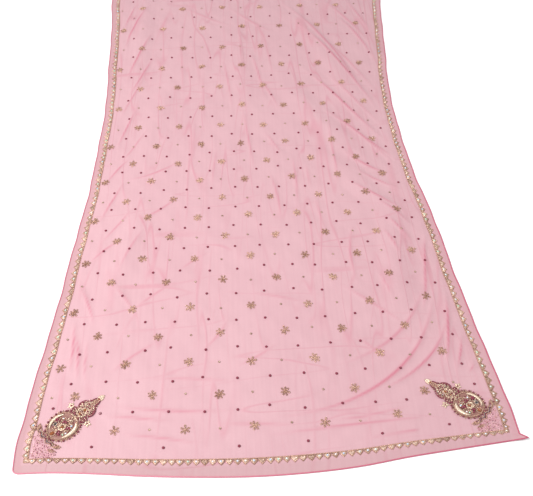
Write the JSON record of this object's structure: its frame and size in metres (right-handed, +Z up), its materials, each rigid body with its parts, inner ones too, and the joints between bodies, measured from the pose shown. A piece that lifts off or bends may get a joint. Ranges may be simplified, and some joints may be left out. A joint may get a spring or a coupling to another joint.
{
  "type": "embroidered dupatta stole laid flat",
  "caption": "Long sheer stole laid flat, with a narrow rolled hem, a scalloped metal-thread border and a worked motif in each corner.",
  "frame": {"origin": "under the middle of the laid stole, on the surface it lies on", "axes": "+Y along the stole from its near end to its far end, +X across it, +Z up from the surface"},
  "size_m": [1.0102, 2.1903, 0.0081],
  "materials": {
    "cloth": "sheer matte crepe weave, rose pink",
    "hem_thread": "rolled hem, closely overcast in deeper pink thread",
    "border_goldwork": "coiled antique-gold wire thread with small clear stones",
    "motif_goldwork": "coiled antique-gold wire thread with maroon beads"
  },
  "bodies": {
    "root": {"ground_panel": "cloth", "hem_near": "hem_thread", "hem_far": "hem_thread", "hem_left": "hem_thread", "hem_right": "hem_thread", "border_near": "border_goldwork", "border_far": "border_goldwork", "border_left": "border_goldwork", "border_right": "border_goldwork", "motif_near_left": "motif_goldwork", "motif_near_right": "motif_goldwork", "motif_far_left": "motif_goldwork", "motif_far_right": "motif_goldwork"}
  },
  "joints": []
}
